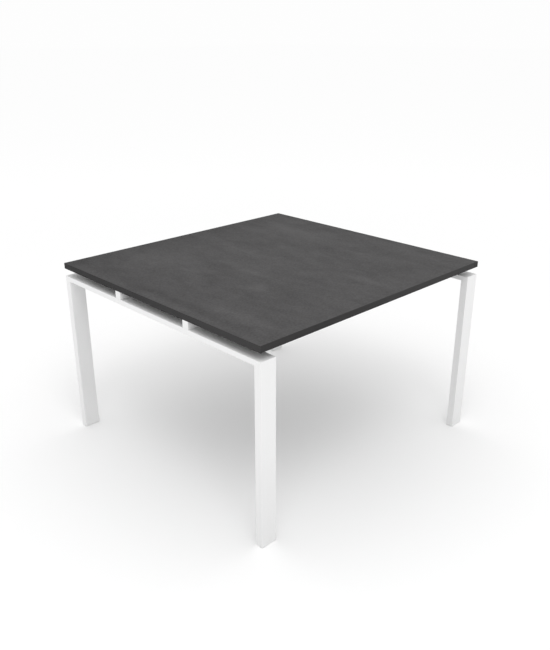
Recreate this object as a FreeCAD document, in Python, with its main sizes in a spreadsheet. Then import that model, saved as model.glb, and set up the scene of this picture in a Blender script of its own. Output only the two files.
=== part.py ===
import FreeCAD, Part
import math
import os
import Sketcher

# Conference table: a thin laminated top on two rails, carried by two welded portal frames on levelling feet.
# Millimetres. The origin is on the floor under the middle of the top. X runs along the rails, Y along the
# portals and Z up. Left is -X, right is +X, front is -Y and back is +Y.

# Driving dimensions: name, value and what it sets
dimensions = [
    ("top_length", 1200, "length of the top, along the rails"),
    ("top_depth", 1142, "depth of the top, along the portals"),
    ("table_height", 736, "floor to the face of the top"),
    ("core_thickness", 22, "chipboard core of the top"),
    ("laminate_thickness", 0.5, "face laminate, and the backing sheet below"),
    ("edge_thickness", 2, "edge band, off the core"),
    ("edge_radius", 0.5, "rounding of the edge band's outer arrises"),
    ("portal_depth", 65, "depth of the legs and beams, along X"),
    ("leg_width", 30, "width of a leg, along Y"),
    ("beam_height", 20, "height of a portal beam"),
    ("portal_wall", 2, "wall of the leg and beam tubes"),
    ("portal_radius", 2, "outer corner radius of the leg and beam tubes"),
    ("portal_inner_radius", 0.5, "inner corner radius of the leg and beam tubes"),
    ("rail_width", 30, "width of a rail"),
    ("rail_height", 30, "height of a rail, which is the shadow gap under the top"),
    ("rail_wall", 2, "wall of a rail"),
    ("rail_radius", 2, "outer corner radius of a rail"),
    ("rail_inner_radius", 0.5, "inner corner radius of a rail"),
    ("front_rail_inset", 362, "front edge of the top to the middle of the front rail"),
    ("back_rail_inset", 381, "back edge of the top to the middle of the back rail"),
    ("cap_thickness", 2, "visible plate of a rail end cap"),
    ("cap_plug_length", 8, "part of a cap inside the rail"),
    ("cap_plug_wall", 2, "wall of the part of a cap inside the rail"),
    ("cap_clearance", 0.1, "each side, cap to rail"),
    ("screw_diameter", 6, "thread of the frame and worktop screws"),
    ("screw_length", 14, "below the head"),
    ("screw_head_diameter", 10.5, "head of the screws"),
    ("screw_head_height", 3.3, "head of the screws"),
    ("screw_head_rim", 1.6, "straight part of the head under its dome"),
    ("screw_crown_diameter", 6.5, "flat at the top of the dome"),
    ("screw_socket_flats", 4, "hexagon socket, across flats"),
    ("screw_socket_depth", 2, "hexagon socket"),
    ("screw_hole_clearance", 0.25, "each side, screw to the hole it passes"),
    ("thread_clearance", 0.05, "each side, screw or stud to its nut"),
    ("access_clearance", 1.75, "each side, screw head to the hole it is put in by"),
    ("rail_screw_spacing", 25, "between the two screws of one rail and beam"),
    ("worktop_screw_spacing", 300, "between screws along a rail"),
    ("insert_diameter", 10, "threaded insert in the core"),
    ("insert_length", 13, "threaded insert in the core"),
    ("insert_tip_room", 2, "hole in the core past the insert"),
    ("backing_hole_clearance", 0.25, "each side, insert to the hole in the backing sheet"),
    ("rail_nut_flats", 10, "nut welded in a rail, across flats"),
    ("rail_nut_height", 5, "nut welded in a rail"),
    ("leg_reveal", 0.5, "floor to the bottom of a leg with its foot screwed in"),
    ("foot_plate_thickness", 5, "plate welded into a leg"),
    ("foot_nut_flats", 13, "nut welded on the foot plate, across flats"),
    ("foot_nut_height", 6.5, "nut welded on the foot plate"),
    ("stud_diameter", 8, "thread of a levelling stud"),
    ("stud_thread_length", 32, "thread of a levelling stud, above its collar"),
    ("stud_hole_clearance", 0.5, "each side, stud to the foot plate and to the mouth of the pad"),
    ("stud_collar_flats", 13, "spanner collar of a stud, across flats"),
    ("stud_collar_height", 4, "spanner collar of a stud"),
    ("stud_collar_lift", 0.3, "pad to the collar"),
    ("stud_flange_diameter", 14, "round flange of a stud, held in the pad"),
    ("stud_flange_height", 3, "round flange of a stud"),
    ("stud_flange_clearance", 0.05, "each side, flange to the pad"),
    ("stud_flange_play", 0.2, "above the flange, in the pad"),
    ("pad_diameter", 24, "pad of a foot"),
    ("pad_height", 9, "pad of a foot"),
    ("pad_base", 3, "floor of the pad under the flange"),
    ("pad_chamfer", 1, "lower edge of the pad"),
]

worktop_screw_count = 4  # along each rail
mitre_overrun = 0.2  # how far a mitre cut runs past a tube, as a share of the tube's size
same_length = 1e-6  # lengths that differ by less count as equal
same_volume = 1e-3  # a cut that takes off less has missed its piece

# Levels and places that follow from the dimensions
top_underside = "(dims.table_height - dims.core_thickness - 2 * dims.laminate_thickness)"
rail_underside = f"({top_underside} - dims.rail_height)"
portal_x = "((dims.top_length - dims.portal_depth) / 2)"
leg_y = "((dims.top_depth - dims.leg_width) / 2)"
front_rail_y = "(dims.front_rail_inset - dims.top_depth / 2)"
back_rail_y = "(dims.top_depth / 2 - dims.back_rail_inset)"
rail_distance = f"({back_rail_y} - {front_rail_y})"
worktop_screw_run = f"({worktop_screw_count - 1} * dims.worktop_screw_spacing)"
first_worktop_screw_x = f"(-{worktop_screw_run} / 2)"
screw_hole = "(dims.screw_diameter + 2 * dims.screw_hole_clearance)"
access_hole = "(dims.screw_head_diameter + 2 * dims.access_clearance)"
nut_thread = "(dims.screw_diameter + 2 * dims.thread_clearance)"
collar_underside = "(dims.pad_height + dims.stud_collar_lift)"
plate_underside = f"({collar_underside} + dims.stud_collar_height)"

vector = FreeCAD.Vector
doc = FreeCAD.newDocument("conference_table")
sheet = doc.addObject("Spreadsheet::Sheet", "dims")
for row, (name, value, meaning) in enumerate(dimensions, 1):
    sheet.set(f"A{row}", name)
    sheet.set(f"B{row}", str(value))
    sheet.set(f"C{row}", meaning)
    sheet.setAlias(f"B{row}", name)
doc.recompute()

nodes = []


def number(expression):
    # what an expression on the sheet's values comes to
    return float(sheet.evalExpression(expression))


def origin_plane(body, role):
    return [feature for feature in body.Origin.OriginFeatures if feature.Role == role][0]


def new_body(label, x="0", y="0", z="0", turn=0):
    body = doc.addObject("PartDesign::Body", label)
    body.Label = label
    body.Placement = FreeCAD.Placement(vector(0, 0, 0), FreeCAD.Rotation(vector(0, 0, 1), turn))
    body.setExpression("Placement.Base.x", x)
    body.setExpression("Placement.Base.y", y)
    body.setExpression("Placement.Base.z", z)
    nodes.append(body)
    return body


def new_sketch(body, name, role, height="0"):
    sketch = body.newObject("Sketcher::SketchObject", f"{body.Label}_{name}")
    sketch.AttachmentSupport = [(origin_plane(body, role), "")]
    sketch.MapMode = "FlatFace"
    sketch.setExpression("AttachmentOffset.Base.z", height)
    return sketch


def bind(sketch, constraint, expression):
    # adds a constraint whose value follows the expression
    index = sketch.addConstraint(constraint)
    sketch.renameConstraint(index, f"size{index}")
    sketch.setExpression(f"Constraints.size{index}", expression)


def place_point(sketch, item, point, x, y):
    # the two distances of a point from the sketch's origin, each kept positive for the solver
    for kind, axis, expression in (("DistanceX", -2, x), ("DistanceY", -1, y)):
        distance = number(expression)
        if abs(distance) < same_length:
            sketch.addConstraint(Sketcher.Constraint("PointOnObject", item, point, axis))
        elif distance > 0:
            bind(sketch, Sketcher.Constraint(kind, -1, 1, item, point, distance), expression)
        else:
            bind(sketch, Sketcher.Constraint(kind, item, point, -1, 1, -distance), f"-({expression})")


def polygon(sketch, corners):
    # a closed run of straight sides through the corners, each given as two expressions
    points = [vector(number(x), number(y), 0) for x, y in corners]
    count = len(points)
    first = sketch.GeometryCount
    for i in range(count):
        sketch.addGeometry(Part.LineSegment(points[i], points[(i + 1) % count]))
    for i in range(count):
        sketch.addConstraint(Sketcher.Constraint("Coincident", first + i, 2, first + (i + 1) % count, 1))
    for i, (x, y) in enumerate(corners):
        place_point(sketch, first + i, 1, x, y)


def rectangle(sketch, width, height):
    polygon(sketch, [
        (f"-{width} / 2", f"-{height} / 2"),
        (f"{width} / 2", f"-{height} / 2"),
        (f"{width} / 2", f"{height} / 2"),
        (f"-{width} / 2", f"{height} / 2"),
    ])


def rounded_rectangle(sketch, width, height, radius):
    # four sides joined by quarter circles, kept in the middle of the sketch
    x = number(width) / 2
    y = number(height) / 2
    r = number(radius)
    up = vector(0, 0, 1)
    quarter = math.pi / 2
    runs = [
        (vector(r - x, -y, 0), vector(x - r, -y, 0), vector(x - r, r - y, 0)),
        (vector(x, r - y, 0), vector(x, y - r, 0), vector(x - r, y - r, 0)),
        (vector(x - r, y, 0), vector(r - x, y, 0), vector(r - x, y - r, 0)),
        (vector(-x, y - r, 0), vector(-x, r - y, 0), vector(r - x, r - y, 0)),
    ]
    sides, arcs = [], []
    for i, (start, end, centre) in enumerate(runs):
        sides.append(sketch.addGeometry(Part.LineSegment(start, end)))
        arc = Part.ArcOfCircle(Part.Circle(centre, up, r), (i - 1) * quarter, i * quarter)
        arcs.append(sketch.addGeometry(arc))
    for i, (side, arc) in enumerate(zip(sides, arcs)):
        following = sides[(i + 1) % len(sides)]
        sketch.addConstraint(Sketcher.Constraint("Tangent", side, 2, arc, 1))
        sketch.addConstraint(Sketcher.Constraint("Tangent", arc, 2, following, 1))
        sketch.addConstraint(Sketcher.Constraint("Vertical" if i % 2 else "Horizontal", side))
    for arc in arcs[1:]:
        sketch.addConstraint(Sketcher.Constraint("Equal", arcs[0], arc))
    sketch.addConstraint(Sketcher.Constraint("Symmetric", arcs[0], 3, arcs[2], 3, -1, 1))
    bind(sketch, Sketcher.Constraint("Radius", arcs[0], r), radius)
    bind(sketch, Sketcher.Constraint("DistanceX", sides[3], 1, sides[1], 1, 2 * x), width)
    bind(sketch, Sketcher.Constraint("DistanceY", sides[0], 1, sides[2], 1, 2 * y), height)


def circle(sketch, diameter, x="0", y="0"):
    centre = vector(number(x), number(y), 0)
    item = sketch.addGeometry(Part.Circle(centre, vector(0, 0, 1), number(diameter) / 2))
    bind(sketch, Sketcher.Constraint("Diameter", item, number(diameter)), diameter)
    place_point(sketch, item, 3, x, y)


def hexagon(sketch, flats):
    # two of the flats face along the sketch's X, and two of the tips along its Y
    half = f"{flats} / 2"
    side = f"{flats} / 2 * tan(30 deg)"
    tip = f"{flats} / 2 / cos(30 deg)"
    polygon(sketch, [
        (half, f"-{side}"),
        (half, side),
        ("0", tip),
        (f"-{half}", side),
        (f"-{half}", f"-{side}"),
        ("0", f"-{tip}"),
    ])


def pad(body, sketch, length, symmetric=False):
    feature = body.newObject("PartDesign::Pad", f"{sketch.Label}_pad")
    feature.Profile = sketch
    feature.SideType = "Symmetric" if symmetric else "One side"
    feature.setExpression("Length", length)
    doc.recompute()
    return feature


def pocket(body, sketch, length, symmetric=False, upward=False):
    # a cut below the sketch, or above it, that has to take something off
    before = body.Shape.Volume
    feature = body.newObject("PartDesign::Pocket", f"{sketch.Label}_pocket")
    feature.Profile = sketch
    feature.SideType = "Symmetric" if symmetric else "One side"
    feature.Reversed = upward
    feature.setExpression("Length", length)
    doc.recompute()
    if not body.Shape.Volume < before - same_volume:
        raise RuntimeError(f"{feature.Label} cut nothing")
    return feature


def revolve(body, sketch):
    feature = body.newObject("PartDesign::Revolution", f"{sketch.Label}_turned")
    feature.Profile = sketch
    feature.ReferenceAxis = (sketch, ["V_Axis"])
    feature.Angle = 360
    doc.recompute()
    return feature


def repeat(body, x_length, x_count, y_length=None, y_count=1, features=None):
    # the given cuts, or else the whole body, repeated along X and then Y over the given lengths
    pattern = body.newObject("PartDesign::LinearPattern", f"{body.Label}_repeat")
    if features:
        pattern.Originals = features
    else:
        pattern.TransformMode = "Whole shape"
    pattern.Direction = (origin_plane(body, "X_Axis"), [""])
    pattern.setExpression("Length", x_length)
    pattern.Occurrences = x_count
    if y_length:
        pattern.Direction2 = (origin_plane(body, "Y_Axis"), [""])
        pattern.setExpression("Length2", y_length)
        pattern.Occurrences2 = y_count
    body.Tip = pattern
    doc.recompute()
    return pattern


def round_edges(body, radius, wanted):
    # rounds the edges that the test wants, given an edge's middle and the edge
    last = body.Tip
    feature = body.newObject("PartDesign::Fillet", f"{body.Label}_rounding")
    names = [f"Edge{i}" for i, edge in enumerate(last.Shape.Edges, 1) if wanted(edge.CenterOfMass, edge)]
    feature.Base = (last, names)
    feature.setExpression("Radius", radius)
    body.Tip = feature
    doc.recompute()
    return feature


# The top: a core between two sheets, with an edge band on each side
core_length = "(dims.top_length - 2 * dims.edge_thickness)"
core_depth = "(dims.top_depth - 2 * dims.edge_thickness)"
worktop_thickness = "(dims.core_thickness + 2 * dims.laminate_thickness)"


def sheet_piece(label, level, thickness):
    body = new_body(label, z=level)
    outline = new_sketch(body, "outline", "XY_Plane")
    rectangle(outline, core_length, core_depth)
    pad(body, outline, thickness)
    return body


def insert_holes(body, diameter, depth):
    # one row of holes above each rail
    holes = new_sketch(body, "insert_holes", "XY_Plane")
    circle(holes, diameter, first_worktop_screw_x, front_rail_y)
    circle(holes, diameter, first_worktop_screw_x, back_rail_y)
    cut = pocket(body, holes, depth, upward=True)
    repeat(body, worktop_screw_run, worktop_screw_count, features=[cut])


core = sheet_piece("worktop_core", f"{top_underside} + dims.laminate_thickness", "dims.core_thickness")
insert_depth = "dims.insert_length + dims.insert_tip_room - dims.laminate_thickness"
insert_holes(core, "dims.insert_diameter", insert_depth)
sheet_piece("worktop_laminate", "dims.table_height - dims.laminate_thickness", "dims.laminate_thickness")
backing = sheet_piece("worktop_backing", top_underside, "dims.laminate_thickness")
insert_holes(backing, "dims.insert_diameter + 2 * dims.backing_hole_clearance", "dims.laminate_thickness")

# The front and back bands run the full length, and cover the ends of the left and right ones
for label, side, turn in (("edge_band_front", "-", 0), ("edge_band_back", "", 180)):
    body = new_body(label, y=f"{side}(dims.top_depth - dims.edge_thickness) / 2", z=top_underside, turn=turn)
    outline = new_sketch(body, "outline", "XY_Plane")
    rectangle(outline, "dims.top_length", "dims.edge_thickness")
    pad(body, outline, worktop_thickness)
    end = number("dims.top_length / 2")
    face = -number("dims.edge_thickness / 2")
    round_edges(body, "dims.edge_radius", lambda middle, edge: (
        abs(middle.y - face) < same_length
        or (abs(abs(middle.x) - end) < same_length and edge.BoundBox.ZLength < same_length)
    ))
for label, side, turn in (("edge_band_left", "-", 0), ("edge_band_right", "", 180)):
    body = new_body(label, x=f"{side}(dims.top_length - dims.edge_thickness) / 2", z=top_underside, turn=turn)
    outline = new_sketch(body, "outline", "XY_Plane")
    rectangle(outline, "dims.edge_thickness", core_depth)
    pad(body, outline, worktop_thickness)
    face = -number("dims.edge_thickness / 2")
    round_edges(body, "dims.edge_radius", lambda middle, edge: (
        abs(middle.x - face) < same_length and edge.BoundBox.ZLength < same_length
    ))

inserts = new_body("worktop_inserts", x=first_worktop_screw_x, y=front_rail_y, z=top_underside)
outline = new_sketch(inserts, "outline", "XY_Plane")
circle(outline, "dims.insert_diameter")
circle(outline, nut_thread)
pad(inserts, outline, "dims.insert_length")
repeat(inserts, worktop_screw_run, worktop_screw_count, rail_distance, 2)

# The rails, which lie on the beams and carry the top, with an end cap at each end
rail_middle = f"({rail_underside} + dims.rail_height / 2)"
rail_inner_width = "(dims.rail_width - 2 * dims.rail_wall)"
rail_inner_height = "(dims.rail_height - 2 * dims.rail_wall)"
inner_screw_x = f"({portal_x} - dims.rail_screw_spacing / 2)"
outer_screw_x = f"({portal_x} + dims.rail_screw_spacing / 2)"

for label, y in (("rail_front", front_rail_y), ("rail_back", back_rail_y)):
    body = new_body(label, y=y, z=rail_middle)
    section = new_sketch(body, "section", "YZ_Plane")
    rounded_rectangle(section, "dims.rail_width", "dims.rail_height", "dims.rail_radius")
    rounded_rectangle(section, rail_inner_width, rail_inner_height, "dims.rail_inner_radius")
    pad(body, section, "dims.top_length - 2 * dims.cap_thickness", symmetric=True)
    frame_holes = new_sketch(body, "frame_holes", "XY_Plane")
    for x in (inner_screw_x, outer_screw_x, f"-{inner_screw_x}", f"-{outer_screw_x}"):
        circle(frame_holes, screw_hole, x)
    pocket(body, frame_holes, "dims.rail_height")
    access_holes = new_sketch(body, "access_holes", "XY_Plane")
    circle(access_holes, access_hole, first_worktop_screw_x)
    cut = pocket(body, access_holes, "dims.rail_height")
    repeat(body, worktop_screw_run, worktop_screw_count, features=[cut])
    worktop_holes = new_sketch(body, "worktop_holes", "XY_Plane")
    circle(worktop_holes, screw_hole, first_worktop_screw_x)
    cut = pocket(body, worktop_holes, "dims.rail_height", upward=True)
    repeat(body, worktop_screw_run, worktop_screw_count, features=[cut])

cap_width = f"({rail_inner_width} - 2 * dims.cap_clearance)"
cap_height = f"({rail_inner_height} - 2 * dims.cap_clearance)"
for end, side, turn in (("left", "-", 0), ("right", "", 180)):
    for place, y in (("front", front_rail_y), ("back", back_rail_y)):
        x = f"{side}dims.top_length / 2"
        body = new_body(f"rail_cap_{place}_{end}", x=x, y=y, z=rail_middle, turn=turn)
        plate = new_sketch(body, "plate", "YZ_Plane")
        rounded_rectangle(plate, "dims.rail_width", "dims.rail_height", "dims.rail_radius")
        pad(body, plate, "dims.cap_thickness")
        plug = new_sketch(body, "plug", "YZ_Plane", "dims.cap_thickness")
        rounded_rectangle(plug, cap_width, cap_height, "dims.rail_inner_radius")
        rectangle(plug, f"({cap_width} - 2 * dims.cap_plug_wall)", f"({cap_height} - 2 * dims.cap_plug_wall)")
        pad(body, plug, "dims.cap_plug_length")

rail_nuts = new_body(
    "rail_nuts",
    x=f"-{outer_screw_x}",
    y=front_rail_y,
    z=f"{rail_underside} + dims.rail_wall",
)
outline = new_sketch(rail_nuts, "outline", "XY_Plane")
hexagon(outline, "dims.rail_nut_flats")
circle(outline, nut_thread)
pad(rail_nuts, outline, "dims.rail_nut_height")
repeat(rail_nuts, "dims.rail_screw_spacing", 2, rail_distance, 2)
repeat(rail_nuts, f"2 * {portal_x}", 2)


def screw(label, x, y, z):
    # a dome head below its seat at Z 0, and the thread above it
    body = new_body(label, x=x, y=y, z=z)
    section = new_sketch(body, "section", "XZ_Plane")
    polygon(section, [
        ("0", "-dims.screw_head_height"),
        ("dims.screw_crown_diameter / 2", "-dims.screw_head_height"),
        ("dims.screw_head_diameter / 2", "-dims.screw_head_rim"),
        ("dims.screw_head_diameter / 2", "0"),
        ("dims.screw_diameter / 2", "0"),
        ("dims.screw_diameter / 2", "dims.screw_length"),
        ("0", "dims.screw_length"),
    ])
    revolve(body, section)
    socket = new_sketch(body, "socket", "XY_Plane", "-dims.screw_head_height")
    hexagon(socket, "dims.screw_socket_flats")
    pocket(body, socket, "dims.screw_socket_depth", upward=True)
    return body


rail_screws = screw("rail_screws", f"-{outer_screw_x}", front_rail_y, f"{rail_underside} - dims.portal_wall")
repeat(rail_screws, "dims.rail_screw_spacing", 2, rail_distance, 2)
repeat(rail_screws, f"2 * {portal_x}", 2)
worktop_screws = screw(
    "worktop_screws",
    first_worktop_screw_x,
    front_rail_y,
    f"{top_underside} - dims.rail_wall",
)
repeat(worktop_screws, worktop_screw_run, worktop_screw_count, rail_distance, 2)

# The portals: two legs and a beam of flat tube, mitred and welded. A mitre runs from the outer corner to the
# inner one, so its slope is the beam's height over the leg's width.
portal_inner_depth = "(dims.portal_depth - 2 * dims.portal_wall)"
leg_inner_width = "(dims.leg_width - 2 * dims.portal_wall)"
beam_inner_height = "(dims.beam_height - 2 * dims.portal_wall)"
leg_length = f"({rail_underside} - dims.leg_reveal)"
mitre_half = 0.5 + mitre_overrun
mitre_far = 1 + mitre_overrun

for end, x in (("left", f"-{portal_x}"), ("right", portal_x)):
    body = new_body(f"beam_{end}", x=x, z=f"{rail_underside} - dims.beam_height / 2")
    section = new_sketch(body, "section", "XZ_Plane")
    rounded_rectangle(section, "dims.portal_depth", "dims.beam_height", "dims.portal_radius")
    rounded_rectangle(section, portal_inner_depth, beam_inner_height, "dims.portal_inner_radius")
    pad(body, section, "dims.top_depth", symmetric=True)
    mitres = new_sketch(body, "mitres", "YZ_Plane")
    for side in ("-", ""):
        outside = f"{side}(dims.top_depth / 2 + {mitre_overrun} * dims.leg_width)"
        inside = f"{side}(dims.top_depth / 2 - {mitre_far} * dims.leg_width)"
        above, below = (f"{sign}{mitre_half} * dims.beam_height" for sign in ("", "-"))
        polygon(mitres, [(outside, above), (outside, below), (inside, below)])
    pocket(body, mitres, f"{mitre_far} * dims.portal_depth", symmetric=True)
    screw_holes = new_sketch(body, "screw_holes", "XY_Plane")
    access_holes = new_sketch(body, "access_holes", "XY_Plane")
    for y in (front_rail_y, back_rail_y):
        for side in ("-", ""):
            circle(screw_holes, screw_hole, f"{side}dims.rail_screw_spacing / 2", y)
            circle(access_holes, access_hole, f"{side}dims.rail_screw_spacing / 2", y)
    pocket(body, screw_holes, "dims.beam_height", upward=True)
    pocket(body, access_holes, "dims.beam_height")

for end, x in (("left", f"-{portal_x}"), ("right", portal_x)):
    for place, side, turn in (("front", "-", 0), ("back", "", 180)):
        body = new_body(f"leg_{place}_{end}", x=x, y=f"{side}{leg_y}", z="dims.leg_reveal", turn=turn)
        section = new_sketch(body, "section", "XY_Plane")
        rounded_rectangle(section, "dims.portal_depth", "dims.leg_width", "dims.portal_radius")
        rounded_rectangle(section, portal_inner_depth, leg_inner_width, "dims.portal_inner_radius")
        pad(body, section, leg_length)
        mitre = new_sketch(body, "mitre", "YZ_Plane")
        outer, inner = (f"{sign}{mitre_half} * dims.leg_width" for sign in ("-", ""))
        top = f"{leg_length} + {mitre_overrun} * dims.beam_height"
        bottom = f"{leg_length} - {mitre_far} * dims.beam_height"
        polygon(mitre, [(outer, top), (inner, bottom), (inner, top)])
        pocket(body, mitre, f"{mitre_far} * dims.portal_depth", symmetric=True)

# The feet: a plate and a nut welded into each leg, a stud that turns in the nut, and a pad that it turns in
for end, x in (("left", f"-{portal_x}"), ("right", portal_x)):
    for place, side in (("front", "-"), ("back", "")):
        y = f"{side}{leg_y}"
        body = new_body(f"foot_plate_{place}_{end}", x=x, y=y, z=plate_underside)
        outline = new_sketch(body, "outline", "XY_Plane")
        rounded_rectangle(outline, portal_inner_depth, leg_inner_width, "dims.portal_inner_radius")
        circle(outline, "dims.stud_diameter + 2 * dims.stud_hole_clearance")
        pad(body, outline, "dims.foot_plate_thickness")

        body = new_body(f"foot_stud_{place}_{end}", x=x, y=y)
        section = new_sketch(body, "section", "XZ_Plane")
        flange_top = "(dims.pad_base + dims.stud_flange_height)"
        polygon(section, [
            ("0", "dims.pad_base"),
            ("dims.stud_flange_diameter / 2", "dims.pad_base"),
            ("dims.stud_flange_diameter / 2", flange_top),
            ("dims.stud_diameter / 2", flange_top),
            ("dims.stud_diameter / 2", f"{plate_underside} + dims.stud_thread_length"),
            ("0", f"{plate_underside} + dims.stud_thread_length"),
        ])
        revolve(body, section)
        collar = new_sketch(body, "collar", "XY_Plane", collar_underside)
        hexagon(collar, "dims.stud_collar_flats")
        pad(body, collar, "dims.stud_collar_height")

        body = new_body(f"foot_pad_{place}_{end}", x=x, y=y)
        section = new_sketch(body, "section", "XZ_Plane")
        mouth = "(dims.stud_diameter / 2 + dims.stud_hole_clearance)"
        bore = "(dims.stud_flange_diameter / 2 + dims.stud_flange_clearance)"
        bore_top = f"({flange_top} + dims.stud_flange_play)"
        polygon(section, [
            ("0", "0"),
            ("dims.pad_diameter / 2 - dims.pad_chamfer", "0"),
            ("dims.pad_diameter / 2", "dims.pad_chamfer"),
            ("dims.pad_diameter / 2", "dims.pad_height"),
            (mouth, "dims.pad_height"),
            (mouth, bore_top),
            (bore, bore_top),
            (bore, "dims.pad_base"),
            ("0", "dims.pad_base"),
        ])
        revolve(body, section)

foot_nuts = new_body(
    "foot_nuts",
    x=f"-{portal_x}",
    y=f"-{leg_y}",
    z=f"{plate_underside} + dims.foot_plate_thickness",
)
outline = new_sketch(foot_nuts, "outline", "XY_Plane")
hexagon(outline, "dims.foot_nut_flats")
circle(outline, "dims.stud_diameter + 2 * dims.thread_clearance")
pad(foot_nuts, outline, "dims.foot_nut_height")
repeat(foot_nuts, f"2 * {portal_x}", 2, f"2 * {leg_y}", 2)

# Check every object, then write one file per node
doc.recompute()
for item in doc.Objects:
    if "Invalid" in item.State or "Error" in item.State:
        raise RuntimeError(f"{item.Label} is in state {item.State}")
os.makedirs("parts", exist_ok=True)
for body in nodes:
    shape = body.Shape
    if shape.isNull() or not shape.isValid():
        raise RuntimeError(f"{body.Label} has no valid shape")
    shape.exportStep(f"parts/{body.Label}.step")
    box = shape.BoundBox
    low = f"{box.XMin:.2f} {box.YMin:.2f} {box.ZMin:.2f}"
    high = f"{box.XMax:.2f} {box.YMax:.2f} {box.ZMax:.2f}"
    print(body.Label, len(shape.Solids), f"{shape.Volume:.1f}", low, high)
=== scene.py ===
import math
import bpy
import numpy as np
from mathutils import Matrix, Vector


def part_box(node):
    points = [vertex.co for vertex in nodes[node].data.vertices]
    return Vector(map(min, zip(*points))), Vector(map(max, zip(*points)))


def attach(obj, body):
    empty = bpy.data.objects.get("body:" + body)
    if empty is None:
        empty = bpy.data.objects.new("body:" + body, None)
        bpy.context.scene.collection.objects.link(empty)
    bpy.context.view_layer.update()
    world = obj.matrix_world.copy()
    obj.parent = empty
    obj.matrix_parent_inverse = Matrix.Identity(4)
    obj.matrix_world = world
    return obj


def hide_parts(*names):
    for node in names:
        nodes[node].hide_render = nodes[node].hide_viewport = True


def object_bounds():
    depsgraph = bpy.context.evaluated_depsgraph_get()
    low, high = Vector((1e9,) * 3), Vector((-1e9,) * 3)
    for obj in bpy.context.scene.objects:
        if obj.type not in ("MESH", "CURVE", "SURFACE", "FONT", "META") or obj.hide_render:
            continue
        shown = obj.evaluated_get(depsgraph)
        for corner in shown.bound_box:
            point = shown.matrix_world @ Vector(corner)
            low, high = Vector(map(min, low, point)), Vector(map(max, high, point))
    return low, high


# Conference table: a dark cement-look laminate top on two white portal frames.
# Metres, Z up, the front is -Y and the left is -X. The pieces' own sizes are in millimetres.
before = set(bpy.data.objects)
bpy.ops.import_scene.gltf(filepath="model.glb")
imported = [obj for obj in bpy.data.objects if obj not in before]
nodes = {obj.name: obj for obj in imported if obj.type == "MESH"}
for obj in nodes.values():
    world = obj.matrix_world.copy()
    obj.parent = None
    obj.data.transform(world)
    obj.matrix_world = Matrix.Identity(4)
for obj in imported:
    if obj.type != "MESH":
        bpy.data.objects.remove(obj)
cadLow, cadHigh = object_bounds()
places = [(p, e) for p in ("front", "back") for e in ("left", "right")]
mm = 0.001


def grey(level, tint=(0, 0, 0)):
    # an 8-bit display grey, with a tint added to its three channels, made linear by the sRGB curve
    shown = np.clip((level + np.array(tint)) / 255, 0, 1)
    linear = np.where(shown <= 0.04045, shown / 12.92, ((shown + 0.055) / 1.055) ** 2.4)
    return (*[float(v) for v in linear], 1.0)


def addNode(tree, kind, inputs=None, **settings):
    # one shader node: settings are its properties, inputs its sockets, as values or as other nodes' outputs
    node = tree.nodes.new(kind)
    for key, value in settings.items():
        setattr(node, key, value)
    for key, value in (inputs or {}).items():
        if isinstance(value, bpy.types.NodeSocket):
            tree.links.new(value, node.inputs[key])
        else:
            node.inputs[key].default_value = value
    return node


def newFinish(name):
    # an empty material with its Principled shader
    material = bpy.data.materials.new(name)
    material.use_nodes = True
    tree = material.node_tree
    return material, tree, tree.nodes["Principled BSDF"]


def stretched(tree, stretch=(1, 1, 1), shift=(0, 0, 0)):
    # Object coordinates times a stretch for each axis: a small one draws the pattern out along that axis
    inputs = {"Scale": stretch, "Location": shift}
    inputs["Vector"] = addNode(tree, "ShaderNodeTexCoord").outputs["Object"]
    return addNode(tree, "ShaderNodeMapping", inputs).outputs["Vector"]


def axes(tree):
    # the X, Y and Z sockets of Object coordinates
    return addNode(tree, "ShaderNodeSeparateXYZ", {"Vector": stretched(tree)}).outputs


def noise(tree, scale=1.0, detail=2.0, roughness=0.5, distortion=0.0, stretch=(1, 1, 1), shift=(0, 0, 0)):
    # fractal noise around 0.5, with scale waves to a unit of the stretched coordinates
    return addNode(tree, "ShaderNodeTexNoise", {
        "Vector": stretched(tree, stretch, shift), "Scale": scale, "Detail": detail, "Roughness": roughness,
        "Distortion": distortion,
    }).outputs["Fac"]


def patterns(tree, kinds):
    # one noise socket for each named kind
    return {name: noise(tree, **settings) for name, settings in kinds.items()}


def calc(tree, operation, first, second=0.0):
    # one step of arithmetic on two sockets or numbers
    return addNode(tree, "ShaderNodeMath", {0: first, 1: second}, operation=operation).outputs[0]


def vectorCalc(tree, operation, output, *terms):
    # one step of arithmetic on vectors
    return addNode(tree, "ShaderNodeVectorMath", dict(enumerate(terms)), operation=operation).outputs[output]


def weighted(tree, sockets, weights):
    # the sum of each named socket times its weight
    total = None
    for name, weight in weights.items():
        term = calc(tree, "MULTIPLY", sockets[name], weight)
        total = term if total is None else calc(tree, "ADD", total, term)
    return total


def between(tree, socket, low, high, toLow, toHigh, smooth=False):
    # carries low..high of a socket to toLow..toHigh, clamped at both ends
    kind = "SMOOTHSTEP" if smooth else "LINEAR"
    return addNode(tree, "ShaderNodeMapRange", {
        "Value": socket, "From Min": low, "From Max": high, "To Min": toLow, "To Max": toHigh,
    }, interpolation_type=kind).outputs["Result"]


def ramp(tree, socket, toneRange, dark, light):
    # the dark colour up to the start of the tone range, the light one past its end, and an even ramp between
    node = addNode(tree, "ShaderNodeValToRGB", {"Fac": socket})
    for element, position, colour in zip(node.color_ramp.elements, toneRange, (dark, light)):
        element.position = position
        element.color = colour
    return node.outputs["Color"]


def greyRamp(tree, socket, values):
    # a ramp between a finish's two grey levels, with its tint
    dark, light = [grey(values[key], values["tint"]) for key in ("darkLevel", "lightLevel")]
    return ramp(tree, socket, values["toneRange"], dark, light)


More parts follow.
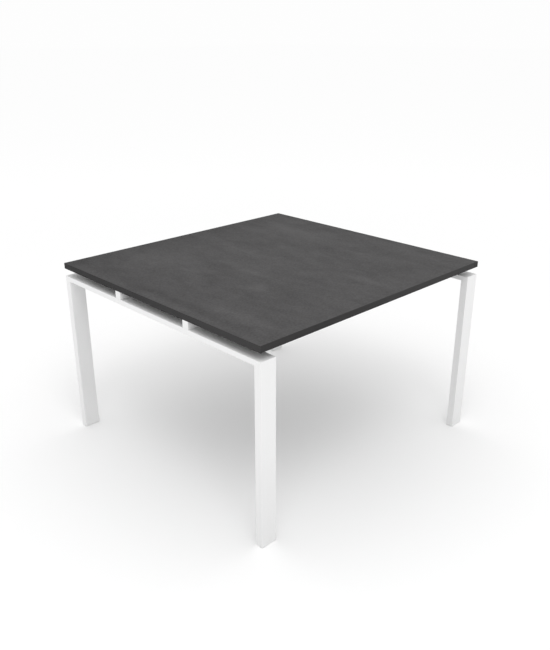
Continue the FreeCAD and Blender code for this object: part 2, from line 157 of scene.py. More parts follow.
def mixed(tree, factor, first, second):
    # first where the factor is 0 and second where it is 1; a Mix node's colours are inputs 6 and 7, output 2
    mix = addNode(tree, "ShaderNodeMix", {"Factor": factor}, data_type="RGBA")
    for index, value in ((6, first), (7, second)):
        if isinstance(value, bpy.types.NodeSocket):
            tree.links.new(value, mix.inputs[index])
        else:
            mix.inputs[index].default_value = value
    return mix.outputs[2]


# The largest part of the normal along one axis, on the middle of a rounded arris and where a face is flat.
arrisTurn = {"middle": 0.72, "flat": 0.99}


def arris(tree):
    # how far the surface turns off the three axes: 0 on every flat face, up to 1 on the middle of an arris
    normal = addNode(tree, "ShaderNodeNewGeometry").outputs["Normal"]
    split = addNode(tree, "ShaderNodeSeparateXYZ", {"Vector": normal})
    sides = [calc(tree, "ABSOLUTE", split.outputs[i]) for i in range(3)]
    largest = calc(tree, "MAXIMUM", calc(tree, "MAXIMUM", sides[0], sides[1]), sides[2])
    return between(tree, largest, arrisTurn["middle"], arrisTurn["flat"], 1.0, 0.0)


def settle(tree, shader, values, base, gloss, height):
    # colour from the base, roughness from the gloss pattern carried to its two limits, bumps from the height
    tree.links.new(base, shader.inputs["Base Color"])
    rough = between(tree, gloss, *values["glossRange"], *values["roughness"])
    tree.links.new(rough, shader.inputs["Roughness"])
    shader.inputs["Specular IOR Level"].default_value = values["specular"]
    strength, depth = values["bump"]
    bump = addNode(tree, "ShaderNodeBump", {"Height": height, "Strength": strength, "Distance": depth * mm})
    tree.links.new(bump.outputs["Normal"], shader.inputs["Normal"])


# The top's decor: soft clouds and streaks along Y, with marks placed where they were seen; the broad dark
# marks along the left, back and right edges are painted shade, not decor.
# The rim is a paler strip at the left and right edges, eased in between two distances from them (mm).
cement = {
    "darkLevel": 44, "lightLevel": 95, "tint": (0.7, -0.3, 0.09), "toneRange": (0.25, 0.75),
    "kinds": {
        "streak": {"stretch": (10.0, 2.6, 1.0), "shift": (3.1, 0.4, 0.0), "detail": 5, "roughness": 0.6,
                   "distortion": 0.35},
        "cloud": {"scale": 5.5, "detail": 6, "roughness": 0.62, "distortion": 0.4},
        "patch": {"scale": 21.0, "stretch": (1, 0.55, 1), "detail": 4, "roughness": 0.6, "distortion": 0.5},
        "mottle": {"scale": 145.0, "detail": 3, "roughness": 0.65},
        "grain": {"scale": 640.0, "detail": 2, "roughness": 0.6},
    },
    "weights": {"streak": 0.17, "cloud": 0.17, "patch": 0.2, "mottle": 0.37, "grain": 0.09},
    "rim": 0.012, "rimInner": 43.0, "rimOuter": 15.0, "warp": 0.05, "warpScale": 14.0, "warpDetail": 3.0,
    "specular": 0.05, "roughness": (0.52, 0.66), "glossRange": (0.3, 0.7),
    "bump": (0.25, 0.15), "bumpWeights": {"grain": 0.6, "mottle": 0.4},
}
# Each mark: middle in X and Y, half width, half length (mm) and how far it lifts or lowers the tone.
marks = [
    (-487, -355, 50, 190, 0.085), (-250, -180, 55, 55, 0.08), (-150, -55, 30, 140, 0.07),
    (88, -392, 50, 200, 0.085), (400, 250, 75, 300, 0.06), (420, -30, 42, 120, 0.04),
    (-362, -505, 36, 80, 0.06), (-525, -505, 32, 75, 0.05), (330, -180, 45, 45, 0.05),
    # The last mark on this line and all marks on the next two are painted shade, darker along the left, back
    # and right edges and in the back-left corner; the others are the decor's own streaks and blots.
    (-545, -130, 34, 620, -0.065), (-225, -330, 70, 95, -0.06), (-300, -5, 65, 95, -0.05),
    (300, -20, 65, 75, -0.045), (-560, 530, 100, 80, -0.05), (0, 610, 1400, 260, -0.1),
    (640, 150, 180, 900, -0.08), (-600, 300, 260, 600, -0.055),
]


def decorMarksAndPaintedShade(tree, spot):
    # the sum of soft ellipses: each one's lift, eased down to 0 from its middle to its outline
    total = None
    for x, y, wide, long, lift in marks:
        place = addNode(tree, "ShaderNodeMapping", {
            "Vector": spot, "Scale": (1 / (wide * mm), 1 / (long * mm), 0.0),
            "Location": (-x / wide, -y / long, 0.0),
        }).outputs["Vector"]
        mark = between(tree, vectorCalc(tree, "LENGTH", "Value", place), 0.0, 1.0, lift, 0.0, True)
        total = mark if total is None else calc(tree, "ADD", total, mark)
    return total


def warpedSpot(tree):
    # Object coordinates pushed about by a coloured noise, less its middle, times the warp
    flat = stretched(tree)
    push = addNode(tree, "ShaderNodeTexNoise", {
        "Vector": flat, "Scale": cement["warpScale"], "Detail": cement["warpDetail"],
    }).outputs["Color"]
    bent = vectorCalc(tree, "SUBTRACT", "Vector", push, (0.5, 0.5, 0.5))
    return vectorCalc(tree, "MULTIPLY_ADD", "Vector", bent, (cement["warp"],) * 3, flat)


def cementLaminate():
    # the weighted sum of noises at five sizes, plus the rim and the marks, read as a grey between two levels
    material, tree, shader = newFinish("cement_laminate")
    kinds = patterns(tree, cement["kinds"])
    across = calc(tree, "ABSOLUTE", axes(tree)["X"])
    limits = [cadHigh[0] - cement[key] * mm for key in ("rimInner", "rimOuter")]
    rim = between(tree, across, *limits, 0.0, cement["rim"], True)
    # the marks add the decor's streaks and blots, and painted shade along the left, back and right edges
    drawn = calc(tree, "ADD", rim, decorMarksAndPaintedShade(tree, warpedSpot(tree)))
    tone = calc(tree, "ADD", weighted(tree, kinds, cement["weights"]), drawn)
    height = weighted(tree, kinds, cement["bumpWeights"])
    settle(tree, shader, cement, greyRamp(tree, tone, cement), kinds["cloud"], height)
    return material


# The edge band: the same decor in a darker, plainer strip, with lines along the band.
# The tone's slow change along each band is painted light and shade: darker towards the back of the left band
# and the left of the front band, paler towards the front and the right.
band = {
    "darkLevel": 45, "lightLevel": 64, "tint": (0.5, -0.25, 0.0), "toneRange": (0.25, 0.75),
    "kinds": {
        "line": {"stretch": (2.5, 2.5, 260), "detail": 3, "roughness": 0.6},
        "cloud": {"scale": 14, "detail": 4, "roughness": 0.6},
        "grain": {"scale": 700, "detail": 2, "roughness": 0.6},
    },
    "weights": {"line": 0.35, "cloud": 0.4, "grain": 0.25, "paintedLightDrift": 0.4},
    "stripStart": 0.025, "darkest": 0.22, "wornLevel": 76, "wornCloud": (0.4, 0.65), "wear": (0.1, 0.2),
    "specular": 0.03, "roughness": (0.46, 0.6), "glossRange": (0.3, 0.7),
    "bump": (0.2, 0.1), "bumpWeights": {"grain": 0.5, "line": 0.5},
}


def stripPaintedLight(tree):
    # X less Y, in strips as long as the mean of two sides, climbs along the left and front bands and falls
    # along the others; its fraction starts again near each corner, and the painted light is how far that
    # fraction is from the darkest place, where the painted shade is deepest
    sides = axes(tree)
    strip = (cadHigh[0] - cadLow[0] + cadHigh[1] - cadLow[1]) / 2
    run = calc(tree, "DIVIDE", calc(tree, "SUBTRACT", sides["X"], sides["Y"]), strip)
    along = calc(tree, "FRACT", calc(tree, "ADD", run, band["stripStart"]))
    return calc(tree, "ABSOLUTE", calc(tree, "SUBTRACT", along, band["darkest"]))


def edgeBand():
    # noise drawn out along both lengths and tight in height gives level lines; the strip's painted light
    # lifts the tone away from its painted shade, and rounded arrises are rubbed paler
    material, tree, shader = newFinish("edge_band")
    kinds = patterns(tree, band["kinds"])
    kinds["paintedLightDrift"] = stripPaintedLight(tree)
    base = greyRamp(tree, weighted(tree, kinds, band["weights"]), band)
    rub = between(tree, kinds["cloud"], *band["wornCloud"], *band["wear"])
    worn = mixed(tree, calc(tree, "MULTIPLY", arris(tree), rub), base, grey(band["wornLevel"]))
    settle(tree, shader, band, worn, kinds["cloud"], weighted(tree, kinds, band["bumpWeights"]))
    return material


# The backing sheet under the top: a fully matt resin paper, dark partly as such papers are and partly as
# painted shade, which deepens the shadow gap above the beams.
backing = {
    "darkLevel": 22, "lightLevel": 36, "tint": (0.6, 0.0, -0.6), "toneRange": (0.3, 0.7),
    "kinds": {
        "fibre": {"stretch": (160, 900, 900), "detail": 3, "roughness": 0.6},
        "cloud": {"scale": 9, "detail": 4, "roughness": 0.6},
    },
    "weights": {"fibre": 0.5, "cloud": 0.5},
    "specular": 0.02, "roughness": (0.82, 0.94), "glossRange": (0.3, 0.7), "bump": (0.15, 0.05),
}


def backingSheetAndGapShade():
    # noise drawn out along X for short fibres, and slow noise for clouds, read as a grey between two dark
    # levels, partly painted shade
    material, tree, shader = newFinish("backing_sheet_and_gap_shade")
    kinds = patterns(tree, backing["kinds"])
    base = greyRamp(tree, weighted(tree, kinds, backing["weights"]), backing)
    settle(tree, shader, backing, base, kinds["cloud"], kinds["fibre"])
    return material


# White powder coat: an even white with orange peel, thin on the arrises, with a trace of dust by the floor.
coat = {
    "darkLevel": 241, "lightLevel": 243, "tint": (0, 0, 0), "toneRange": (0.3, 0.7),
    "kinds": {
        "slow": {"scale": 3.5, "detail": 3},
        "peel": {"scale": 620, "detail": 2},
        "wave": {"scale": 160, "detail": 1},
        "speck": {"scale": 90, "detail": 5, "roughness": 0.7},
    },
    "thinLevel": 240, "thinSpeck": (0.4, 0.7), "thin": (0.15, 0.8),
    "dustLevel": 226, "dustTint": (1.5, 0, -1.5), "dustSpeck": (0.45, 0.7), "dustHeight": 50.0, "dust": 0.25,
    "specular": 0.15, "roughness": (0.36, 0.46), "glossRange": (0.3, 0.7),
    "bump": (0.1, 0.1), "bumpWeights": {"peel": 0.6, "wave": 0.4},
}


def powderCoat():
    # two sizes of noise for the peel; the white drops a little with slow noise, on arrises and near the floor
    material, tree, shader = newFinish("white_powder_coat")
    kinds = patterns(tree, coat["kinds"])
    speck = kinds["speck"]
    thin = calc(tree, "MULTIPLY", arris(tree), between(tree, speck, *coat["thinSpeck"], *coat["thin"]))
    coated = mixed(tree, thin, greyRamp(tree, kinds["slow"], coat), grey(coat["thinLevel"]))
    low = between(tree, axes(tree)["Z"], 0.0, coat["dustHeight"] * mm, coat["dust"], 0.0, True)
    dust = calc(tree, "MULTIPLY", low, between(tree, speck, *coat["dustSpeck"], 0.0, 1.0))
    dusty = mixed(tree, dust, coated, grey(coat["dustLevel"], coat["dustTint"]))
    settle(tree, shader, coat, dusty, speck, weighted(tree, kinds, coat["bumpWeights"]))
    return material


# Moulded plastics: white for the rail caps and black for the pads.
mould = {
    "tint": (0, 0, 0), "toneRange": (0.3, 0.7), "glossRange": (0.3, 0.7), "bump": (0.3, 0.08),
    "kinds": {
        "flow": {"scale": 45, "detail": 3, "roughness": 0.55, "distortion": 0.8},
        "skin": {"scale": 1900, "detail": 2, "roughness": 0.6},
        "rub": {"scale": 210, "detail": 4, "roughness": 0.7},
    },
    "rubRange": (0.45, 0.7), "rub": 0.6,
}
plastics = {
    "white_moulding": {"darkLevel": 241, "lightLevel": 244, "wornLevel": 230, "roughness": (0.42, 0.52),
                       "specular": 0.3},
    "black_moulding": {"darkLevel": 24, "lightLevel": 33, "wornLevel": 66, "roughness": (0.5, 0.68),
                       "specular": 0.4},
}


def moulding(name):
    # a spark-eroded skin: fine noise for the texture, slow noise for flow marks, and rubbed arrises
    values = {**mould, **plastics[name]}
    material, tree, shader = newFinish(name)
    kinds = patterns(tree, values["kinds"])
    rub = between(tree, kinds["rub"], *values["rubRange"], 0.0, values["rub"])
    worn = calc(tree, "MULTIPLY", arris(tree), rub)
    base = mixed(tree, worn, greyRamp(tree, kinds["flow"], values), grey(values["wornLevel"]))
    settle(tree, shader, values, base, kinds["flow"], kinds["skin"])
    return material


# Zinc plate on the studs, screws, nuts and inserts.
zinc = {
    "darkLevel": 168, "lightLevel": 196, "tint": (-1.5, 0, 1.5), "toneRange": (0.25, 0.7),
    "bloomScale": 420.0,
    "kinds": {
        "patch": {"scale": 130, "detail": 4, "roughness": 0.6},
        "rings": {"stretch": (40, 40, 3200), "detail": 2},
        "grime": {"scale": 330, "detail": 5, "roughness": 0.7},
    },
    "weights": {"bloom": 0.35, "patch": 0.65}, "grimeLevel": 110, "grimeRange": (0.56, 0.72), "grime": 0.5,
    "specular": 0.5, "roughness": (0.26, 0.46), "glossRange": (0.3, 0.7),
    "bump": (0.15, 0.05), "bumpWeights": {"rings": 0.6, "patch": 0.4},
}


def zincPlate():
    # cells for the plating's bloom, noise for dull and bright patches, and rings of turning marks in the bump
    material, tree, shader = newFinish("zinc_plate")
    kinds = patterns(tree, zinc["kinds"])
    cells = {"Vector": stretched(tree), "Scale": zinc["bloomScale"]}
    kinds["bloom"] = addNode(tree, "ShaderNodeTexVoronoi", cells).outputs["Distance"]
    base = greyRamp(tree, weighted(tree, kinds, zinc["weights"]), zinc)
    grime = between(tree, kinds["grime"], *zinc["grimeRange"], 0.0, zinc["grime"])
    dirty = mixed(tree, grime, base, grey(zinc["grimeLevel"]))
    settle(tree, shader, zinc, dirty, kinds["patch"], weighted(tree, kinds, zinc["bumpWeights"]))
    shader.inputs["Metallic"].default_value = 1.0
    return material


# Chipboard core, seen only inside the screw holes.
chips = {
    "darkColour": (0.2, 0.12, 0.055, 1), "paleColour": (0.52, 0.37, 0.2, 1), "toneRange": (0.15, 0.85),
    "cellStretch": (220, 420, 900),
    "kinds": {"fibre": {"stretch": (300, 900, 900), "detail": 4, "roughness": 0.6}},
    "weights": {"chip": 0.65, "fibre": 0.35},
    "specular": 0.2, "roughness": (0.78, 0.92), "glossRange": (0, 1),
    "bump": (0.4, 0.3), "bumpWeights": {"edge": 0.6, "fibre": 0.4},
}


def chipboard():
    # flat cells drawn out along the board, each with its own tone, under a little noise
    material, tree, shader = newFinish("chipboard")
    kinds = patterns(tree, chips["kinds"])
    cells = {"Vector": stretched(tree, chips["cellStretch"]), "Scale": 1.0}
    cell = addNode(tree, "ShaderNodeTexVoronoi", cells).outputs
    kinds["chip"] = addNode(tree, "ShaderNodeSeparateColor", {"Color": cell["Color"]}).outputs[0]
    kinds["edge"] = cell["Distance"]
    tone = weighted(tree, kinds, chips["weights"])
    base = ramp(tree, tone, chips["toneRange"], chips["darkColour"], chips["paleColour"])
    settle(tree, shader, chips, base, kinds["chip"], weighted(tree, kinds, chips["bumpWeights"]))
    return material


finishes = {
    "grey_laminate": cementLaminate(),
    "grey_edge": edgeBand(),
    "chipboard": chipboard(),
    "white_steel": powderCoat(),
    "white_plastic": moulding("white_moulding"),
    "zinc_steel": zincPlate(),
    "black_plastic": moulding("black_moulding"),
}
for node in nodes.values():
    slot = node.material_slots[0].material.name.split(".")[0]
    node.material_slots[0].material = finishes[slot]
# the backing shares the laminate's slot, but its face is not decorated; its darkness is partly painted shade
nodes["worktop_backing"].material_slots[0].material = backingSheetAndGapShade()
print("finishes made:", ", ".join(finishes))


def turnedFaces(rings, around):
    # quads between neighbouring rings, closed round, with a fan on the pole at each end; the points come as
    # pole, rings, pole
    row = np.arange(around)
    after = (row + 1) % around
    start = 1 + around * np.arange(rings - 1)[:, None]
    quads = np.stack([start + row, start + after, start + around + after, start + around + row], axis=-1)
    last = 1 + around * (rings - 1)
    bottom = np.stack([np.zeros_like(row), after + 1, row + 1], axis=-1)
    top = np.stack([last + row, last + after, np.full_like(row, last + around)], axis=-1)
    return quads.reshape(-1, 4), np.concatenate([bottom, top])


def turnedPiece(name, first, rings, final, spots, sharpDegrees=28):
    # a closed skin of rings (rings x around x 3) between two poles, repeated at each spot in one mesh
    count, around = rings.shape[:2]
    points = np.concatenate([np.reshape(first, (1, 3)), rings.reshape(-1, 3), np.reshape(final, (1, 3))])
    spots = np.reshape(np.array(spots, float), (-1, 3))
    quads, fans = turnedFaces(count, around)
    shift = len(points) * np.arange(len(spots))[:, None, None]
    allPoints = (points[None] + spots[:, None]).reshape(-1, 3)
    faces = (quads[None] + shift).reshape(-1, 4).tolist() + (fans[None] + shift).reshape(-1, 3).tolist()
    mesh = bpy.data.meshes.new(name)
    mesh.from_pydata(allPoints.tolist(), [], faces)
    mesh.shade_smooth()
    mesh.set_sharp_from_angle(angle=math.radians(sharpDegrees))
    mesh.validate()
    piece = bpy.data.objects.new(name, mesh)
    bpy.context.scene.collection.objects.link(piece)
    return piece


def dress(piece, body, slot, *replaced):
    # gives a piece the finish of its slot and its body, and hides the CAD nodes that it stands for
    piece.data.materials.append(finishes[slot])
    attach(piece, body)
    if replaced:
        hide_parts(*replaced)


def fullTurn(around):
    # even angles once round the axis
    return np.linspace(0, 2 * math.pi, around, endpoint=False)


def quarter(count):
    # even angles over a quarter circle
    return np.linspace(0, math.pi / 2, count)


def lathe(radius, height, turn):
    # points at a radius and a height for each ring, which may change with the turn, from cylinder coordinates
    radius = np.broadcast_to(radius, (len(radius), len(turn)))
    height = np.broadcast_to(height, radius.shape)
    return np.stack([radius * np.cos(turn), radius * np.sin(turn), height], axis=-1)


def hexRadius(turn, flats):
    # from the axis to a hexagon's side: half the flats over the cosine of the angle off the nearest flat
    return flats / 2 / np.cos((turn + math.pi / 6) % (math.pi / 3) - math.pi / 6)


# A metric thread's depth in pitches, the slope and crest of its wave, and the pitches over which it fades in.
threadForm = {"depth": 0.6134, "slope": 1.45, "crest": 0.2, "fade": 1.5}


def threadStem(values, start, end, turn):
    # rings up a thread, the same number to each pitch: the radius is the crest less a clipped triangle wave
    # along the helix, where a turn lifts the wave by one pitch; it fades in, and the end has a 45 degree lead
    crest, pitch = values["crest"], values["pitch"]
    step = pitch / values["steps"]
    height = np.arange(start, end + step / 2, step)
    phase = (height[:, None] / pitch - turn[None] / (2 * math.pi)) % 1
    wave = np.clip(threadForm["slope"] * np.abs(2 * phase - 1) - threadForm["crest"], 0, 1)
    fade = np.clip((height - start) / (threadForm["fade"] * pitch), 0, 1)[:, None]
    lead = crest - np.clip(height - (end - pitch), 0, None)[:, None]
    radius = np.minimum(crest - wave * threadForm["depth"] * pitch * fade, lead)
    return lathe(radius, height[:, None], turn)


# Levelling stud: a flange held in the pad, a spanner collar and an M8 thread.
stud = {
    "flange": 14.0, "flangeLow": 3.0, "flangeTop": 6.0, "bevel": 0.35, "neck": 7.6, "neckFillet": 0.3,
    "flats": 13.0, "collarLow": 9.3, "collarTop": 13.3, "collarTurned": 12.5, "collarFillet": 0.2,
    "coneDegrees": 62, "coneHeight": 0.75, "coneRings": 7,
    "crest": 3.97, "pitch": 1.25, "top": 45.3, "around": 48, "steps": 10,
}


def studRings():
    # rings up the stud: flange, neck, hexagon cut by a turned cone at both faces, then the thread
    turn = fullTurn(stud["around"])
    rim, neck, bevel = stud["flange"] / 2, stud["neck"] / 2, stud["bevel"]
    low, top, collarLow, collarTop = [stud[k] for k in ("flangeLow", "flangeTop", "collarLow", "collarTop")]
    under, over = stud["neckFillet"], stud["collarFillet"]
    plain = np.array([
        (rim - bevel, low), (rim, low + bevel), (rim, top - bevel), (rim - bevel, top),
        (neck + under, top), (neck, top + under), (neck, collarLow - over), (neck + over, collarLow),
    ])
    edge = np.linspace(0, stud["coneHeight"], stud["coneRings"])
    inset = np.concatenate([edge, edge[::-1]])
    height = np.concatenate([collarLow + edge, collarTop - edge[::-1]])
    cone = stud["collarTurned"] / 2 + inset * math.tan(math.radians(stud["coneDegrees"]))
    collar = np.minimum(hexRadius(turn, stud["flats"])[None], cone[:, None])
    return mm * np.concatenate([
        lathe(plain[:, :1], plain[:, 1:], turn), lathe(collar, height[:, None], turn),
        threadStem(stud, collarTop, stud["top"], turn),
    ])


# Foot pad: a black moulding with a fluted rim, grip rings under it and a pocket for the stud's flange.
pad = {
    "radius": 12.0, "height": 9.0, "around": 216, "chamfer": 1.0, "sideRings": 13,
    "shoulder": 1.4, "crownRings": 7,
    "flutes": 36, "fluteDepth": 0.45, "fluteLow": 1.4, "fluteTop": 7.4, "fluteRun": 1.2, "fluteReach": 0.9,
    "gripRings": (3.2, 5.4, 7.6, 9.6), "gripDepth": 0.45, "gripMouth": 0.55, "gripFloor": 0.3,
    "lipOuter": 6.0, "lipInner": 5.6, "lipDrop": 0.15, "mouth": 4.5, "mouthEase": 0.3,
    "pocket": 7.05, "pocketLow": 3.0, "pocketTop": 6.2,
}


def padSection():
    # radius and height from the middle of the sole round to the floor of the pocket: grip grooves, rim,
    # rounded shoulder, sunk lip, mouth and pocket
    radius, height, shoulder = pad["radius"], pad["height"], pad["shoulder"]
    wide, narrow, deep = pad["gripMouth"], pad["gripFloor"], pad["gripDepth"]
    across = np.array(pad["gripRings"])[:, None] + [-wide, -narrow, narrow, wide]
    sole = np.stack([across, np.broadcast_to([0, deep, deep, 0], across.shape)], axis=-1).reshape(-1, 2)
    rise = np.linspace(pad["chamfer"], height - shoulder, pad["sideRings"])
    side = np.stack([np.full_like(rise, radius), rise], axis=-1)
    curve = quarter(pad["crownRings"])[1:]
    crown = np.stack([radius - shoulder * (1 - np.cos(curve)),
                      height - shoulder * (1 - np.sin(curve))], axis=-1)
    sunk = height - pad["lipDrop"]
    lip = [
        (pad["lipOuter"], height), (pad["lipInner"], sunk), (pad["mouth"] + pad["mouthEase"], sunk),
        (pad["mouth"], sunk - pad["mouthEase"]), (pad["mouth"], pad["pocketTop"]),
        (pad["pocket"], pad["pocketTop"]), (pad["pocket"], pad["pocketLow"]),
    ]
    return np.concatenate([sole, [(radius - pad["chamfer"], 0.0)], side, crown, lip])


def padRings():
    # the section turned round the axis; flutes are cosine dips in the rim, which fade out at both their ends
    turn = fullTurn(pad["around"])
    section = padSection()
    out, up = section[:, :1], section[:, 1:]
    start = np.clip((up - pad["fluteLow"]) / pad["fluteRun"], 0, 1)
    end = np.clip((pad["fluteTop"] - up) / pad["fluteRun"], 0, 1)
    dip = pad["fluteDepth"] * start * end * (out > pad["radius"] - pad["fluteReach"])
    return mm * lathe(out - dip * (0.5 - 0.5 * np.cos(pad["flutes"] * turn)), up, turn)


# Button-head screws, M6 x 14: eight hold the rails to the beams and eight hold the top to the rails.
screw = {
    "head": 5.25, "headHeight": 3.3, "rim": 1.6, "crown": 3.25, "domeRings": 9, "bevel": 0.25, "fillet": 0.2,
    "socket": 4.0, "socketDepth": 2.0, "drillShare": 0.55, "drillRise": 0.25, "drillDepth": 0.4,
    "crest": 2.97, "pitch": 1.0, "length": 14.0, "around": 36, "steps": 8,
}


def screwRings():
    # rings from the floor of the hexagon socket out over the dome, then up the thread; the seat is at 0
    turn = fullTurn(screw["around"])
    head, crown, bevel, low = screw["head"], screw["crown"], screw["bevel"], -screw["headHeight"]
    bore, floor = hexRadius(turn, screw["socket"]), low + screw["socketDepth"]
    hexagon = np.stack([bore * screw["drillShare"], bore, bore, bore + bevel])
    levels = np.array([floor + screw["drillRise"], floor, low + bevel, low])
    curve = quarter(screw["domeRings"])
    dome = np.stack([crown + (head - crown) * np.sin(curve),
                     low + (screw["headHeight"] - screw["rim"]) * (1 - np.cos(curve))], axis=-1)
    seat = [(head, -bevel), (head - bevel, 0.0), (screw["crest"] + screw["fillet"], 0.0)]
    plain = np.concatenate([dome, seat])
    return mm * np.concatenate([
        lathe(hexagon, levels[:, None], turn), lathe(plain[:, :1], plain[:, 1:], turn),
        threadStem(screw, screw["fillet"], screw["length"], turn),
    ])


# Rail end cap: a square plate with eased edges on a hollow plug.
cap = {
    "half": 15.0, "corner": 2.0, "plate": 2.0, "ease": 0.5, "easeRings": 5, "innerShare": 0.5,
    "plug": 12.9, "plugWall": 2.0, "plugLength": 8.0, "plugCorner": 0.5, "plugChamfer": 0.6,
}


def squareOutline(half, corner, count=9):
    # a rounded square round the axis: four quarter circles of the corner radius, joined by straight sides
    turn = (quarter(count)[None] + (math.pi / 2 * np.arange(4))[:, None]).ravel()
    centre = (half - corner) * np.repeat(np.array([(1, 1), (-1, 1), (-1, -1), (1, -1)]), count, axis=0)
    return centre + corner * np.stack([np.cos(turn), np.sin(turn)], axis=-1)


def capRings():
    # outlines from the middle of the outer face over the eased edge, back to the rail, along the plug and up
    # inside it; each level is a half width, a corner radius and a depth
    half, corner, plate, ease = cap["half"], cap["corner"], cap["plate"], cap["ease"]
    plug, plugCorner, chamfer = cap["plug"], cap["plugCorner"], cap["plugChamfer"]
    inner, deep = plug - cap["plugWall"], plate + cap["plugLength"]
    curve = quarter(cap["easeRings"])
    drawnIn = ease * (1 - np.sin(curve))
    eased = np.stack([half - drawnIn, corner - drawnIn, ease * (1 - np.cos(curve))], axis=-1)
    levels = np.concatenate([[(half * cap["innerShare"], corner, 0.0)], eased, [
        (half, corner, plate), (plug, plugCorner, plate), (plug, plugCorner, deep - chamfer),
        (plug - chamfer, plugCorner, deep), (inner, plugCorner, deep), (inner, plugCorner, plate),
    ]])
    flat = np.stack([squareOutline(h, r) for h, r, z in levels])
    depth = np.broadcast_to(levels[:, 2:], flat.shape[:2])
    return mm * np.concatenate([flat, depth[..., None]], axis=-1)


# Weld bead in the inner corner of a portal, painted with the frame. It sinks in by a share of its size.
weld = {
    "leg": 3.2, "ripple": 0.22, "ripplePitch": 1.7, "half": 30.0, "taper": 2.5, "stations": 141, "across": 11,
    "bulge": 0.78, "crown": 0.06, "sink": 0.12, "sharpDegrees": 50,
}


def beadRings():
    # a quarter round, half way between a chord and a bulged arc, carried along X; its size swells and shrinks
    # with the ripples and closes at both ends
    along = np.linspace(-1, 1, weld["stations"])[1:-1] * weld["half"]
    room = np.clip((weld["half"] - np.abs(along)) / weld["taper"], 0, 1)
    ripple = weld["ripple"] * np.abs(np.sin(math.pi * along / weld["ripplePitch"]))
    size = (weld["leg"] - ripple) * np.sqrt(room * (2 - room))
    turn = quarter(weld["across"])
    bulge = weld["bulge"] + weld["crown"] * np.sin(2 * turn)
    arc = np.stack([np.cos(turn), np.sin(turn)], axis=-1)
    chord = arc / arc.sum(axis=1, keepdims=True)
    face = (chord + arc * bulge[:, None]) / 2
    sink = weld["sink"]
    outline = np.concatenate([face, [(-sink, 1.0), (-sink, -sink), (1.0, -sink)]])
    flat = outline[None] * size[:, None, None]
    station = np.broadcast_to(along[:, None], flat.shape[:2])
    return mm * np.concatenate([station[..., None], flat], axis=-1)


def middle(node):
    # the middle of a node's box
    low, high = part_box(node)
    return np.array((low + high) / 2)


def onAxis(node):
    # the point on the floor under the middle of a node
    return middle(node) * (1, 1, 0)


studSkin, padSkin = studRings(), padRings()
for p, e in places:
    where = f"{p}_{e}"
    piece = turnedPiece(f"levelling_stud_{where}", (0, 0, stud["flangeLow"] * mm), studSkin,
                        (0, 0, stud["top"] * mm), onAxis(f"foot_stud_{where}"))
    dress(piece, f"stud_{where}", "zinc_steel", f"foot_stud_{where}")
    piece = turnedPiece(f"fluted_pad_{where}", (0, 0, 0), padSkin, (0, 0, pad["pocketLow"] * mm),
                        onAxis(f"foot_pad_{where}"))
    dress(piece, f"pad_{where}", "black_plastic", f"foot_pad_{where}")
print("levelling feet made:", len(places))

# Where the screws stand: a pair in each beam, and an even row along each rail.
screwRow = {"pairHalf": 12.5, "railCount": 4}
screwSkin = screwRings()
socketFloor = screw["socketDepth"] - screw["headHeight"] + screw["drillDepth"]
railLines = [middle(f"rail_{p}")[1] for p in ("front", "back")]
rowLow, rowHigh = [corner.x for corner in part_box("worktop_screws")]
headRoom, pairHalf = screw["head"] * mm, screwRow["pairHalf"] * mm
rows = {
    "rail_screws": [middle(f"beam_{e}")[0] + side * pairHalf for e in ("left", "right") for side in (-1, 1)],
    "worktop_screws": np.linspace(rowLow + headRoom, rowHigh - headRoom, screwRow["railCount"]),
}
for name, row in rows.items():
    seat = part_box(name)[0].z + screw["headHeight"] * mm
    spots = [(x, y, seat) for x in row for y in railLines]
    piece = turnedPiece(f"socket_{name}", (0, 0, socketFloor * mm), screwSkin,
                        (0, 0, screw["length"] * mm), spots)
    dress(piece, "table", "zinc_steel", name)
    print(name, "made:", len(spots))

capSkin = capRings()
for p, e in places:
    name = f"rail_cap_{p}_{e}"
    low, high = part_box(name)
    outer, inward = (low.x, 1) if e == "left" else (high.x, -1)
    skin = np.stack([inward * capSkin[..., 2], inward * capSkin[..., 0], capSkin[..., 1]], axis=-1)
    piece = turnedPiece(f"eased_{name}", (0, 0, 0), skin, (inward * cap["plate"] * mm, 0, 0),
                        (outer, *middle(name)[1:]))
    dress(piece, "table", "white_plastic", name)
print("rail caps made:", len(places))

beadSkin = beadRings()
beadEnd = weld["half"] * mm
for p, e in places:
    legLow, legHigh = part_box(f"leg_{p}_{e}")
    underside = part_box(f"beam_{e}")[0].z
    corner = ((legLow.x + legHigh.x) / 2, legHigh.y if p == "front" else legLow.y, underside)
    x, a, b = beadSkin[..., 0], beadSkin[..., 1], beadSkin[..., 2]
    skin = np.stack([x, b, -a] if p == "front" else [x, -a, -b], axis=-1)
    piece = turnedPiece(f"corner_weld_{p}_{e}", (-beadEnd, 0, 0), skin, (beadEnd, 0, 0), corner,
                        weld["sharpDegrees"])
    dress(piece, "table", "white_steel")
print("corner welds made:", len(places))

# The stage, in metres: a pale floor that fades to white, a hair under the soles, an even white dome and one
# softbox. Each pair of shades goes from the near end of its reach to the far end.
stage = {
    "floorHalf": 60.0, "floorDrop": 0.0003,
    # The bounce grey, darker near the table, is painted shade: less light comes back up onto the legs and
    # into the shadow gap.
    "shown": (0.97, 1.0), "shownReach": (2.5, 6.0), "bounce": (0.64, 0.96), "bounceReach": (0.5, 4.0),
    "dome": 0.98, "domeShown": 0.985,
}
softbox = {"place": (-2.0, -2.4, 5.0), "aim": (0.0, 0.0, 0.5), "size": 2.5, "watts": 52.0}


def seenRay(tree):
    # 1 for a ray from the camera, or one that it follows through gloss or glass
    path = addNode(tree, "ShaderNodeLightPath").outputs
    both = calc(tree, "MAXIMUM", path["Is Camera Ray"], path["Is Glossy Ray"])
    return calc(tree, "MAXIMUM", both, path["Is Transmission Ray"])


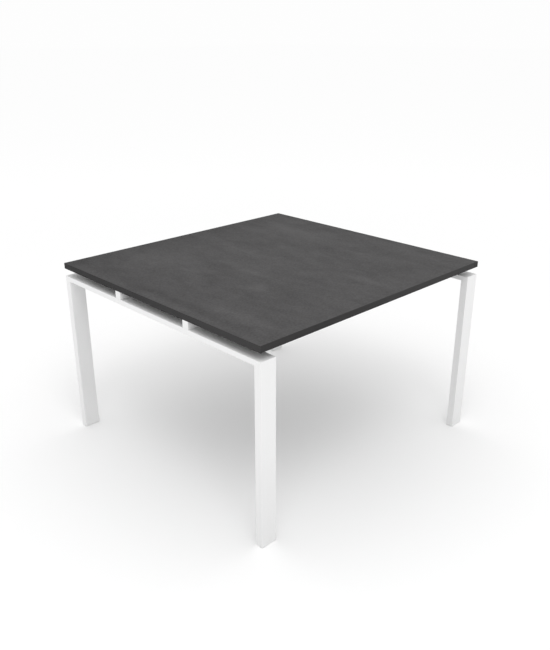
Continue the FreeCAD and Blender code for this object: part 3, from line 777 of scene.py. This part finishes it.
def paleRing(tree, away, reach, shades):
    # the first shade inside the reach, the second beyond it, and an eased mix between
    near, far = [(value, value, value, 1) for value in shades]
    return mixed(tree, between(tree, away, *reach, 0.0, 1.0, True), near, far)


def paleFloor():
    # a plain matt floor: rays that show it read a white, and light that bounces off it a grey, and both grow
    # paler with the distance from the table; the darker bounce grey near the table is painted shade
    corners = np.array([(-1, -1), (1, -1), (1, 1), (-1, 1)]) * stage["floorHalf"]
    mesh = bpy.data.meshes.new("pale_floor")
    mesh.from_pydata([(x, y, -stage["floorDrop"]) for x, y in corners.tolist()], [], [(0, 1, 2, 3)])
    floor = bpy.data.objects.new("pale_floor", mesh)
    bpy.context.scene.collection.objects.link(floor)
    material, tree, shader = newFinish("pale_floor")
    away = vectorCalc(tree, "LENGTH", "Value", stretched(tree))
    white = paleRing(tree, away, stage["shownReach"], stage["shown"])
    bounce = paleRing(tree, away, stage["bounceReach"], stage["bounce"])
    tree.links.new(mixed(tree, seenRay(tree), bounce, white), shader.inputs["Base Color"])
    shader.inputs["Roughness"].default_value = 1.0
    shader.inputs["Specular IOR Level"].default_value = 0.0
    mesh.materials.append(material)


def whiteDome():
    # an even dome that lights at one strength and shows at another
    world = bpy.data.worlds.new("white_dome")
    world.use_nodes = True
    tree = world.node_tree
    dome = tree.nodes["Background"]
    dome.inputs["Color"].default_value = (1, 1, 1, 1)
    strength = between(tree, seenRay(tree), 0, 1, stage["dome"], stage["domeShown"])
    tree.links.new(strength, dome.inputs["Strength"])
    bpy.context.scene.world = world


def frontSoftbox():
    # one square lamp high before the near corner, turned to the table's middle
    data = bpy.data.lights.new("front_softbox", "AREA")
    data.size = softbox["size"]
    data.energy = softbox["watts"]
    lamp = bpy.data.objects.new("front_softbox", data)
    lamp.location = softbox["place"]
    lamp.rotation_mode = "QUATERNION"
    lamp.rotation_quaternion = (Vector(softbox["aim"]) - lamp.location).to_track_quat("-Z", "Y")
    bpy.context.scene.collection.objects.link(lamp)


paleFloor()
whiteDome()
frontSoftbox()
print("stage set")

# The camera, solved from the photograph's corners: place and clip limits in metres, heading and dip in
# degrees, focal length and frame in pixels, sensor in millimetres.
view = {
    "place": (-1.91967, -1.98205, 1.59911), "heading": 45.6545, "dip": 22.3637, "focal": 719.955,
    "frame": (550, 650), "sensor": 36.0, "clip": (0.05, 200.0),
}


def photoCamera():
    # looks along the heading, tipped down by the dip; the sensor spans the frame's longer side
    heading, dip = math.radians(view["heading"]), math.radians(view["dip"])
    ahead = Vector((math.cos(dip) * math.cos(heading), math.cos(dip) * math.sin(heading), -math.sin(dip)))
    data = bpy.data.cameras.new("photo_camera")
    data.sensor_width = view["sensor"]
    data.lens = view["focal"] * view["sensor"] / max(view["frame"])
    data.clip_start, data.clip_end = view["clip"]
    camera = bpy.data.objects.new("photo_camera", data)
    camera.location = view["place"]
    camera.rotation_mode = "QUATERNION"
    camera.rotation_quaternion = ahead.to_track_quat("-Z", "Y")
    bpy.context.scene.collection.objects.link(camera)
    bpy.context.scene.camera = camera


photoCamera()
bpy.context.scene.view_settings.view_transform = "Standard"
print("camera set")
